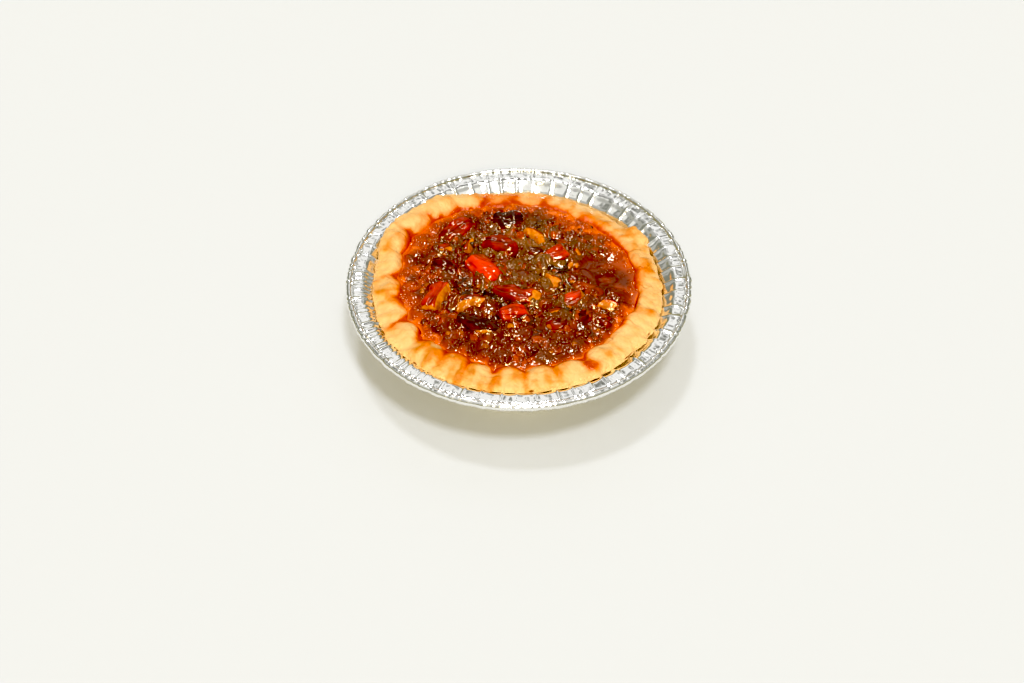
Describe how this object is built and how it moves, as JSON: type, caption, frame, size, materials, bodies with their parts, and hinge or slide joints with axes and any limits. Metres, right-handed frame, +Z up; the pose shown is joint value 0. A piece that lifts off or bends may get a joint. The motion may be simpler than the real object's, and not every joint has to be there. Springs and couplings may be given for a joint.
{
  "type": "pecan tart",
  "caption": "Small round pecan tart: crimped golden pastry shell with glossy caramel filling and chopped pecans, baked in its own pleated foil tin with a rolled rim.",
  "frame": {"origin": "middle of the tin's flat underside, where it rests on the table", "axes": "+Z up through the middle of the tart, -Y towards the front of the picture, +X to its right"},
  "size_m": [0.08, 0.08, 0.019],
  "materials": {
    "foil": "bright rolled foil, creased",
    "pastry": "baked golden shortcrust pastry, matte and slightly crumbly",
    "caramel": "glossy baked caramel with fine bubbles",
    "pecan_skin": "red-brown pecan skin glazed with caramel",
    "pecan_flesh": "golden broken pecan flesh glazed with caramel"
  },
  "bodies": {
    "root": {"foil_tin": "foil", "pastry_crust": "pastry", "caramel_filling": "caramel", "pecan_01": "pecan_skin", "pecan_02": "pecan_skin", "pecan_03": "pecan_skin", "pecan_04": "pecan_skin", "pecan_05": "pecan_skin", "pecan_06": "pecan_skin", "pecan_07": "pecan_flesh", "pecan_08": "pecan_flesh", "pecan_09": "pecan_skin", "pecan_10": "pecan_skin", "pecan_11": "pecan_flesh", "pecan_12": "pecan_flesh", "pecan_13": "pecan_flesh", "pecan_14": "pecan_skin", "pecan_15": "pecan_flesh", "pecan_16": "pecan_flesh", "pecan_17": "pecan_skin", "pecan_18": "pecan_skin", "pecan_19": "pecan_skin", "pecan_20": "pecan_flesh", "pecan_21": "pecan_skin", "pecan_22": "pecan_skin", "pecan_23": "pecan_flesh", "pecan_24": "pecan_skin", "pecan_25": "pecan_skin", "pecan_26": "pecan_flesh"}
  },
  "joints": []
}
